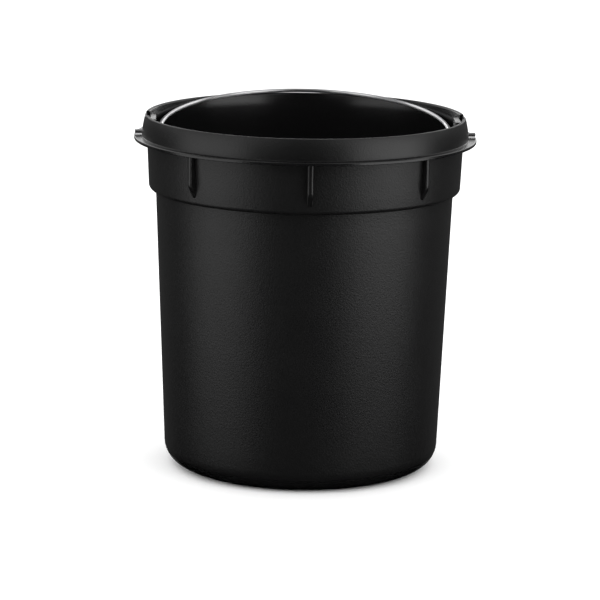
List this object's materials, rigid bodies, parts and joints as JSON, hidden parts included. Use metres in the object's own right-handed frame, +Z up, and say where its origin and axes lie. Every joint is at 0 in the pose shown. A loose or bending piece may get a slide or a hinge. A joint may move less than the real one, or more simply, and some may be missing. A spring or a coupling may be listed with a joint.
{
  "type": "florist bucket",
  "caption": "Tapered round plastic bucket with a stepped band, a flange and a collar under its rim, and a wire bail handle that swings over to either side.",
  "frame": {"origin": "centre of the circle that the bucket stands on, at the level of the surface under it", "axes": "+Z up along the bucket's axis; the handle's pivot line runs along X; at rest the handle is folded down towards +Y"},
  "size_m": [0.2678, 0.2678, 0.2818],
  "materials": {
    "bucket_plastic": "black injection-moulded polypropylene with a fine moulded grain, satin",
    "bail_wire": "bright plated steel wire"
  },
  "bodies": {
    "bucket": {"bucket": "bucket_plastic"},
    "bail": {"bail_handle": "bail_wire"}
  },
  "joints": [
    {"name": "bail_hinge", "type": "hinge", "parent": "bucket", "child": "bail", "pos_m": [0, 0, 0.2639], "axis": [1, 0, 0], "range_deg": [0, 164.6]}
  ]
}
